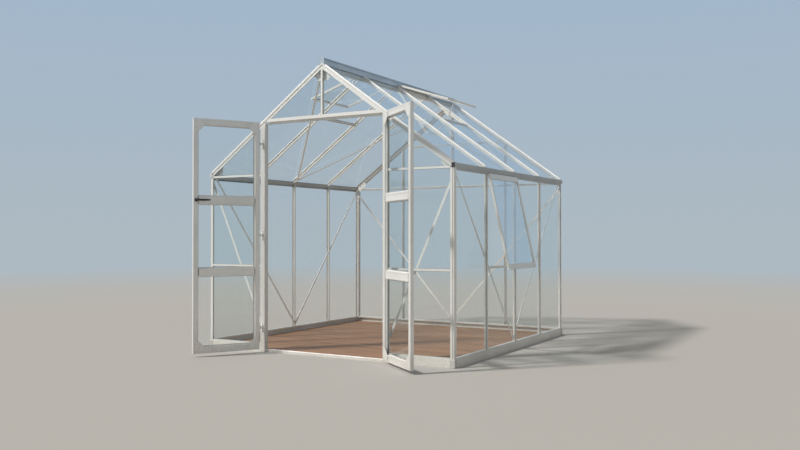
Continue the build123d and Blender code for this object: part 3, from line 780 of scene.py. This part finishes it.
def plate_nuts():
    """Nuts of the plates at the apexes and the eaves."""
    y = half_d - frame_deep - seat - plate
    under_roof, from_eave, from_middle = 0.0265, 0.024, 0.004
    from_apex, from_foot, under_gutter = (0.030, 0.075), (0.030, 0.065, 0.105), (0.022, 0.048)
    foot = (half_w - from_eave) / math.cos(slope)
    downs = [*from_apex, *(foot - up for up in from_foot)]
    points = [on_roof(down, y, -under_roof) for down in downs]
    x = half_w - frame_deep / 2 - from_middle
    points += [Vector((x, y, gutter_bottom - below)) for below in under_gutter]
    places = [stand((s * point.x, y, point.z), -Y) for point in points for s in (-1, 1)]
    return both(places, mirror_y)


def on_line(start, end, from_start):
    """A point that far along the line between two points."""
    start, end = Vector(start), Vector(end)
    return start + (end - start).normalized() * from_start


def brace_ends(low, top, from_low, from_top, up):
    """Nuts near both ends of one brace."""
    return [stand(on_line(low, top, from_low), up), stand(on_line(top, low, from_top), up)]


def brace_nuts():
    """Nuts at both ends of each flat brace of the walls."""
    x, y = half_w - brace_in, half_d - brace_in
    foot, level, last = base_height + 0.022, eave_rail - 0.048, half_d - 0.048
    corner = half_w - frame_deep / 2
    behind_post, past_post = 0.045, 0.082
    at_foot, at_gutter, at_corner = 0.026, 0.034, 0.020
    side = brace_ends((x, 0, foot), (x, last, gutter_bottom), at_foot, at_gutter, -X)
    back = brace_ends((0, y, foot), (corner, y, level), at_foot, at_corner, -Y)
    front = brace_ends((post_outer - behind_post, -y, foot), (corner, -y, level), past_post,
                       at_corner, Y)
    return both(both(side, mirror_y) + back + front, mirror_x)


def frame_nuts():
    places = wall_nuts() + plate_nuts() + brace_nuts()
    nuts = copies("frame_nuts", nut(), places)
    finish_piece(nuts, "greenhouse_frame", "hinge_metal", found("zinc_plate", zinc))


def door_screw_places():
    """Screws of a leaf's corner plates, on the closed right-hand leaf."""
    low, high = closed_box("right_door_frame")
    face = closed_box("right_door_corner_plates")[1].y
    offsets = ((0.020, 0.020), (0.085, 0.017), (0.017, 0.085), (0.104, 0.038), (0.038, 0.104))
    places = []
    for x, dx in ((high.x, -1), (low.x, 1)):
        for z, dz in ((low.z, 1), (high.z, -1)):
            for u, v in offsets:
                places.append(stand((x + dx * u, face, z + dz * v), Y))
    return places


def hinge_screw_places(x, rises):
    """Screws of the hinges' plates, at heights above and below each hinge's middle."""
    face = -half_d - seat - plate
    return [stand((x, face, z + rise), -Y) for z in hinge_heights for rise in rises]


def door_screws():
    from_edge = 0.013
    leaf_edge = closed_box("right_door_frame")[1].x
    closed = door_screw_places() + hinge_screw_places(leaf_edge - from_edge, (-0.027, 0.0, 0.027))
    for side in ("left", "right"):
        place = door_place(side)
        screws = copies(f"{side}_door_screws", screw(), [place @ one for one in closed])
        finish_piece(screws, f"{side}_door", "hinge_metal", found("zinc_plate", zinc))


def post_screws():
    """Screws of the hinge plates on the door posts and of the base corner brackets."""
    from_axis, sunk = 0.019, 0.0005
    hinges = hinge_screw_places(hinge_axis.x - from_axis, (-0.033, -0.019, 0.019, 0.033))
    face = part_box("base_corner_brackets")[1].x - sunk
    heights, steps = (0.022, 0.048), (0.014, 0.032)
    corner = []
    for z in heights:
        for step in steps:
            corner.append(stand((half_w - step, face, z), Y))
            corner.append(stand((face, half_d - step, z), X))
    places = both(hinges, mirror_x) + both(both(corner, mirror_x), mirror_y)
    screws = copies("frame_screws", screw(), places)
    finish_piece(screws, "greenhouse_frame", "hinge_metal", found("zinc_plate", zinc))


# Handle


rose_radius = 0.015


def lever():
    """A lever on its rose, standing out along Z and reaching along X."""
    thick, neck = 0.005, 0.026
    half, reach, low, high = 0.008, 0.117, 0.030, 0.039
    near = 1e-4
    rose = drum("lever", rose_radius, 0.0, thick, sides=28)
    pick_rim(rose, thick)
    bevel(0.0015, 2)
    pick(rose, "faces", lambda face: face.normal.z > 0.99)
    inset(0.0055)
    extrude((0, 0, neck))
    leave_edit()
    smooth(rose)
    grip = block("grip", (-half, -half, low), (reach, half, high))
    bpy.ops.object.mode_set(mode="EDIT")
    bpy.ops.mesh.select_all(action="SELECT")
    bpy.ops.mesh.subdivide(number_cuts=3)
    pick(grip, "verts", lambda v: v.co.x > reach - near)
    bpy.ops.transform.resize(value=(1, 0.62, 0.72))
    pick(grip, "verts", lambda v: v.co.x < near - half)
    bpy.ops.transform.resize(value=(1, 0.8, 0.9))
    leave_edit()
    round_off = grip.modifiers.new("round", "SUBSURF")
    round_off.levels = 2
    round_off.render_levels = 2
    apply_all(grip)
    smooth(grip, 60)
    return joined("lever", [rose, grip])


def handle():
    place = door_place("left")
    low, high = closed_box("left_door_handle", "left")
    leaf_low, leaf_high = closed_box("right_door_frame")
    middle = (low.z + high.z) / 2
    x = low.x + rose_radius
    inner = stand((x, leaf_high.y + seat, middle), Y, X)
    outer = stand((x, leaf_low.y - seat, middle), -Y, X)
    piece = copies("door_lever", lever(), [place @ inner, place @ outer])
    finish_piece(piece, "left_door", "black_plastic", found("black_plastic", plastic),
                 "left_door_handle")


# Ridge ends and threshold ribs


def ridge_ends():
    """Pressed plates over the ridge cap's ends, their lower edges on the roof line."""
    low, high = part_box("ridge_cap")
    half, drop, below_top = 0.028, 0.006, 0.002
    play, thick = 0.0001, 0.0017
    plug = block("ridge_end", (0, low.y - play - thick, roof_z(half)),
                 (half, low.y - play, high.z - below_top))
    rise = apex_height - roof_z(half)
    for test, move in ((lambda v: v.co.x < 1e-5 and v.co.z < apex_height, rise),
                       (lambda v: v.co.x > 1e-5 and v.co.z > apex_height, -drop)):
        pick(plug, "verts", test)
        bpy.ops.transform.translate(value=(0, 0, move))
    pick(plug, "faces", lambda face: face.normal.x < -0.9)
    bpy.ops.mesh.delete(type="FACE")
    leave_edit()
    other = plug.modifiers.new("other half", "MIRROR")
    other.use_clip = True
    apply_all(plug)
    pick(plug, "faces", lambda face: face.normal.y < -0.9)
    inset(0.003)
    inset(0.0012, -0.0007)
    leave_edit()
    plugs = copies("ridge_ends", plug, [Matrix.Identity(4), mirror_y(Matrix.Identity(4))])
    # The ridge cap's finish, with its painted shade and painted sky reflection.
    finish_piece(plugs, "greenhouse_frame", "mill_aluminium", bpy.data.materials["aluminium_ridge"])


def threshold_ribs():
    """Tread ribs along the threshold, each a bar with sloping sides."""
    low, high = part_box("door_threshold")
    reach, half, rise, count = high.x - 0.004, 0.0014, 0.0009, 7
    rib = block("rib", (-reach, -half, 0.0), (reach, half, rise))
    pick_top(rib)
    bpy.ops.transform.resize(value=(0.9995, 0.45, 1))
    leave_edit()
    step = (high.y - low.y) / (count + 1)
    places = [Matrix.Translation((0, low.y + step * (n + 1), high.z)) for n in range(count)]
    ribs = copies("threshold_ribs", rib, places)
    finish_piece(ribs, "greenhouse_frame", "mill_aluminium", bpy.data.materials["aluminium_across"])


# Glazing strips


def bead(start, end, outward, offset):
    """Place of a unit bead between two points, moved sideways on the wall's face."""
    start, end, outward = Vector(start), Vector(end), Vector(outward)
    along = end - start
    x = along.normalized()
    y = outward.cross(x)
    turn = Matrix((x * along.length, y, outward)).transposed().to_4x4()
    return Matrix.Translation(start + y * offset) @ turn


def bead_pair(start, end, outward, half):
    return [bead(start, end, outward, half), bead(start, end, outward, -half)]


def unit_bead(width):
    """One metre of strip along X with sloping sides, lying on the pane beside a bar."""
    foot, crown = -0.0028, -0.0010
    strip = block("strip", (0, -width / 2, foot), (1, width / 2, crown))
    pick_top(strip)
    bpy.ops.transform.resize(value=(1, 0.5, 1))
    leave_edit()
    return strip


def glazing_strips():
    """Strips along both sides of the walls' bars and rails and beside the corner posts."""
    half = settings().strip.width / 2
    beside = bar_half + half
    corner = post_leg + half
    side_top, eave_end, mid_end = gutter_bottom - 0.022, half_w - 0.045, half_w - 0.039
    places = []
    for y in bars_y:
        places += bead_pair((half_w, y, base_height), (half_w, y, side_top), X, beside)
    places += bead_pair((half_w, 0, base_height), (half_w, 0, side_top), X, half_d - corner)
    places = both(places, mirror_x)
    for x in bars_x:
        places += bead_pair((x, half_d, base_height), (x, half_d, roof_z(x, rafter_leg)), Y, beside)
    places += bead_pair((0, half_d, base_height), (0, half_d, gutter_bottom), Y, half_w - corner)
    for s in (-1, 1):
        for z, end in ((eave_rail, eave_end), (mid_rail, mid_end)):
            places += bead_pair((s * post_lip, -half_d, z), (s * end, -half_d, z), -Y, beside)
        lip_top = roof_z(post_lip, rafter_leg)
        for x, top in ((post_lip + half, lip_top), (half_w - corner, gutter_bottom)):
            places.append(bead((s * x, -half_d, base_height), (s * x, -half_d, top), -Y, 0))
    king_post = (0, -half_d, header_high.z), (0, -half_d, roof_z(0, rafter_leg))
    places += bead_pair(*king_post, -Y, beside)
    strips = copies("glazing_strips", unit_bead(settings().strip.width), places)
    finish_piece(strips, "greenhouse_frame", "black_plastic", found("strip_rubber", rubber))


def roof_strips():
    """Pale strips beside the caps of the roof bars and along the rafters."""
    width = settings().strip.roof_width
    places = []
    for y in bars_y:
        places += bead_pair(*roof_line(y), roof_out, bar_half + width / 2)
    places += bead_pair(*roof_line(0), roof_out, half_d - post_leg - width / 2)
    strips = copies("roof_strips", unit_bead(width), both(places, mirror_x))
    pale = found("strip_pale", roof_strip_finish)
    finish_piece(strips, "greenhouse_frame", "mill_aluminium", pale)


def unit_cap():
    """One metre of bar cap along X: a thin foot, and a narrower crown with rounded edges."""
    width, height = settings().strip.cap_width, settings().strip.cap_height
    foot = 0.0014
    cap = block("cap", (0, -width / 2, 0), (1, width / 2, foot))
    pick_top(cap)
    inset(width * 0.13)
    extrude((0, 0, height - foot))
    bpy.ops.transform.resize(value=(1, 0.82, 1))
    pick_rim(cap, height)
    bevel(0.0016, 2)
    leave_edit()
    return cap


def roof_caps():
    """Snap-on caps over the roof bars and rafters, clear of the vents that open above them."""
    from_face = 0.001
    gable = half_d - settings().strip.cap_width / 2 - from_face
    places = [bead(*roof_line(y), roof_out, 0) for y in (-gable, *bars_y, gable)]
    caps = copies("roof_bar_caps", unit_cap(), both(places, mirror_x))
    # The caps take the bars' lightened finish, a painted highlight.
    finish_piece(caps, "greenhouse_frame", "mill_aluminium", bpy.data.materials["aluminium_bright"])


def leaf_strip_places():
    """Strips around the panes of the closed right-hand leaf, on both faces of the glass."""
    low, high = closed_box("right_door_frame")
    stile, top, bottom, half, back_face = 0.050, 0.060, 0.064, 0.041, 0.0086
    x0, x1 = low.x + stile, high.x - stile
    edges = (low.z + bottom, door_rails[0] - half, door_rails[0] + half,
             door_rails[1] - half, door_rails[1] + half, high.z - top)
    inside = settings().strip.width / 2
    places = []
    for y, out, toward in ((low.y, -Y, inside), (low.y + back_face, Y, -inside)):
        for z0, z1 in zip(edges[::2], edges[1::2]):
            corners = [(x0, y, z0), (x1, y, z0), (x1, y, z1), (x0, y, z1)]
            places += [bead(a, b, out, toward) for a, b in zip(corners, corners[1:] + corners[:1])]
    return places


def leaf_strips():
    closed = leaf_strip_places()
    for side in ("left", "right"):
        place = door_place(side)
        strips = copies(f"{side}_door_strips", unit_bead(settings().strip.width),
                        [place @ one for one in closed])
        finish_piece(strips, f"{side}_door", "black_plastic", found("strip_rubber", rubber))


# Finishes of the frame's own pieces

UPRIGHT = ("corner_posts", "side_wall_bars", "back_wall_bars", "front_king_post",
           "left_door_frame", "right_door_frame", "sash_stays", "left_door_corner_plates",
           "right_door_corner_plates", "side_window_frame")
LEVEL_X = ("door_header", "door_threshold", "front_wall_rails", "back_wall_rails", "joint_plates")
LEVEL_Y = ("base_rails", "ridge_beam", "sash_sills", "roof_vent_frames")
SLOPED = ("back_rafters", "front_rafters")
# Roof bars and braces: their finish is lightened as a painted highlight of their sunlit sides.
PAINTED_HIGHLIGHT = ("left_roof_bars", "right_roof_bars", "roof_braces", "wall_braces")
GLASS = ("back_glass", "front_glass", "left_wall_glass", "right_wall_glass", "left_roof_glass",
         "right_roof_glass", "roof_vent_glass", "left_door_glass", "right_door_glass")
HINGES = ("door_post_hinges", "left_door_hinge_leaves", "right_door_hinge_leaves")


def frame_finishes():
    groups = (
        (UPRIGHT, aluminium("aluminium_upright", (0, 0, 1))),
        (LEVEL_X, aluminium("aluminium_across", (1, 0, 0))),
        (LEVEL_Y, aluminium("aluminium_lengthways", (0, 1, 0))),
        (SLOPED, aluminium("aluminium_sloped", (1, 0, 0), sloped=True)),
        # Lightened tone: a painted highlight.
        (PAINTED_HIGHLIGHT, aluminium("aluminium_bright", (1, 0, 0), sloped=True, tone=1.10)),
        # Door posts darkened as painted shade.
        (("door_posts",), aluminium("aluminium_post", (0, 0, 1), tone=0.80)),
        # Gutters darkened as painted shade and painted reflection.
        (("eave_gutters",), aluminium("aluminium_gutter", (0, 1, 0), tone=0.52)),
        (("base_corner_brackets",), aluminium("aluminium_pressed", (0, 0, 1), tone=0.72)),
        (GLASS, glass()),
        (("side_window_glass",), glass("window_glass", 0.34)),
        (HINGES, hinge_metal()),
        (("ridge_cap",), ridge_metal()),
        (("left_door_handle",), found("black_plastic", plastic)),
        (("gutter_end_caps",), end_cap_plastic()),
        (("timber_floor",), found("oiled_boards", timber)),
    )
    for names, material in groups:
        for name in names:
            dress(frame["nodes"][name], material)


# Stage


def studio_floor():
    """A wide pale floor that fades into the backdrop."""
    stage = settings().stage
    begin()
    bpy.ops.mesh.primitive_circle_add(vertices=96, radius=60, fill_type="NGON",
                                      location=(0, 0, -0.0005))
    floor = named("studio_floor")
    f = finish_named("studio_floor")
    coordinates = f.node("ShaderNodeTexCoord", output="Object")
    far = f.node("ShaderNodeVectorMath", {"operation": "LENGTH"}, {0: coordinates}, output="Value")
    fade = f.node("ShaderNodeMapRange", {"interpolation_type": "SMOOTHSTEP"},
                  {"Value": far, "From Min": 4.5, "From Max": 22.0})
    ground = f.node("ShaderNodeBsdfPrincipled", inputs={
        "Base Color": (*stage.floor, 1.0), "Roughness": 0.85, "Specular IOR Level": 0.1})
    distance = f.node("ShaderNodeEmission", inputs={
        "Color": (*stage.horizon, 1.0), "Strength": 1.0})
    dress(floor, f.close(f.node("ShaderNodeMixShader", inputs={0: fade, 1: ground, 2: distance})))


def backdrop():
    """A world that lights softly from all round and shows a pale sky to the camera and to gloss."""
    stage = settings().stage
    world = bpy.data.worlds.new("studio")
    bpy.context.scene.world = world
    f = Finish(world)
    direction = f.node("ShaderNodeTexCoord", output="Generated")
    up = f.node("ShaderNodeSeparateXYZ", inputs={"Vector": direction}, output="Z")
    sky = f.mix(f.ramp(up, (0.0, 0.0), (0.75, 1.0)), stage.horizon, stage.zenith)
    rays = f.node("ShaderNodeLightPath", output="Is Camera Ray")
    gloss = f.node("ShaderNodeLightPath", output="Is Glossy Ray")
    through = f.node("ShaderNodeLightPath", output="Is Transmission Ray")
    seen = (rays + gloss + through).clamped()
    light = f.node("ShaderNodeBackground", inputs={
        "Color": (1.0, 0.98, 0.94, 1.0), "Strength": stage.fill})
    shown = f.node("ShaderNodeBackground", inputs={"Color": sky, "Strength": 1.0})
    shader = f.node("ShaderNodeMixShader", inputs={0: seen, 1: light, 2: shown})
    f.close(shader, "ShaderNodeOutputWorld")


def lamps():
    """One wide key lamp from the front left, like the sun behind thin cloud."""
    begin()
    bpy.ops.object.light_add(type="SUN", location=(-4, -5, 7))
    key = bpy.context.object
    key.name = "key"
    key.data.energy = settings().stage.key
    key.data.angle = math.radians(6)
    key.data.color = (1.0, 0.97, 0.92)
    key.rotation_euler = Vector((0.60, 0.72, -0.86)).to_track_quat("-Z", "Y").to_euler()


def camera():
    stage = settings().stage
    begin()
    bpy.ops.object.camera_add(location=stage.camera_place,
                              rotation=(math.radians(90) + stage.camera_rise, 0, stage.camera_turn))
    eye = bpy.context.object
    eye.name = "camera"
    eye.data.lens = stage.lens
    eye.data.sensor_width = 36.0
    bpy.context.scene.camera = eye


def set_stage():
    studio_floor()
    backdrop()
    lamps()
    camera()
    bpy.context.scene.view_settings.view_transform = "Standard"


# Operators and panel


class GREENHOUSE_OT_stage(bpy.types.Operator):
    """Set the floor, the backdrop, the lamp and the camera"""
    bl_idname = "greenhouse.stage"
    bl_label = "Stage"

    def execute(self, context):
        set_stage()
        return {"FINISHED"}


class GREENHOUSE_OT_frame_finishes(bpy.types.Operator):
    """Finish the frame, the glass and the hinges"""
    bl_idname = "greenhouse.frame_finishes"
    bl_label = "Frame finishes"

    def execute(self, context):
        frame_finishes()
        return {"FINISHED"}


class GREENHOUSE_OT_floor_boards(bpy.types.Operator):
    """Lay the floor boards and drive their screws"""
    bl_idname = "greenhouse.floor_boards"
    bl_label = "Floor boards"

    def execute(self, context):
        floor_boards()
        floor_screws()
        return {"FINISHED"}


class GREENHOUSE_OT_frame_nuts(bpy.types.Operator):
    """Set the frame's nuts and the screws of brackets and hinges"""
    bl_idname = "greenhouse.frame_nuts"
    bl_label = "Frame fastenings"

    def execute(self, context):
        frame_nuts()
        post_screws()
        return {"FINISHED"}


class GREENHOUSE_OT_door_screws(bpy.types.Operator):
    """Set the screws of the doors"""
    bl_idname = "greenhouse.door_screws"
    bl_label = "Door screws"

    def execute(self, context):
        door_screws()
        return {"FINISHED"}


class GREENHOUSE_OT_handle(bpy.types.Operator):
    """Model the lever handle of the left door"""
    bl_idname = "greenhouse.handle"
    bl_label = "Lever handle"

    def execute(self, context):
        handle()
        return {"FINISHED"}


class GREENHOUSE_OT_glazing_strips(bpy.types.Operator):
    """Run the glazing strips and the caps over the roof bars and rafters"""
    bl_idname = "greenhouse.glazing_strips"
    bl_label = "Glazing strips"

    def execute(self, context):
        glazing_strips()
        roof_strips()
        roof_caps()
        leaf_strips()
        return {"FINISHED"}


class GREENHOUSE_OT_ridge_ends(bpy.types.Operator):
    """Close the ridge cap's ends"""
    bl_idname = "greenhouse.ridge_ends"
    bl_label = "Ridge ends"

    def execute(self, context):
        ridge_ends()
        return {"FINISHED"}


class GREENHOUSE_OT_threshold_ribs(bpy.types.Operator):
    """Run the tread ribs along the threshold"""
    bl_idname = "greenhouse.threshold_ribs"
    bl_label = "Threshold ribs"

    def execute(self, context):
        threshold_ribs()
        return {"FINISHED"}


OPERATORS = (GREENHOUSE_OT_stage, GREENHOUSE_OT_frame_finishes, GREENHOUSE_OT_floor_boards,
             GREENHOUSE_OT_frame_nuts, GREENHOUSE_OT_door_screws, GREENHOUSE_OT_handle,
             GREENHOUSE_OT_glazing_strips, GREENHOUSE_OT_ridge_ends, GREENHOUSE_OT_threshold_ribs)


class GREENHOUSE_PT_panel(bpy.types.Panel):
    """The greenhouse's pieces and their sizes"""
    bl_idname = "GREENHOUSE_PT_panel"
    bl_label = "Greenhouse"
    bl_space_type = "VIEW_3D"
    bl_region_type = "UI"
    bl_category = "Greenhouse"

    def draw(self, context):
        for operator in OPERATORS:
            self.layout.operator(operator.bl_idname)
        for name in ("floor", "fastening", "strip", "finish", "stage"):
            box = self.layout.box()
            group = getattr(context.scene.greenhouse, name)
            for key in group.__annotations__:
                box.prop(group, key)


CLASSES = (FloorSettings, FasteningSettings, StripSettings, FinishSettings, StageSettings,
           GreenhouseSettings) + OPERATORS + (GREENHOUSE_PT_panel,)


def register():
    for part in CLASSES:
        bpy.utils.register_class(part)
    bpy.types.Scene.greenhouse = PointerProperty(type=GreenhouseSettings)


def unregister():
    del bpy.types.Scene.greenhouse
    for part in reversed(CLASSES):
        bpy.utils.unregister_class(part)


def main():
    register()
    for operator in OPERATORS:
        getattr(bpy.ops.greenhouse, operator.bl_idname.split(".")[1])()


if __name__ == "__main__":
    main()
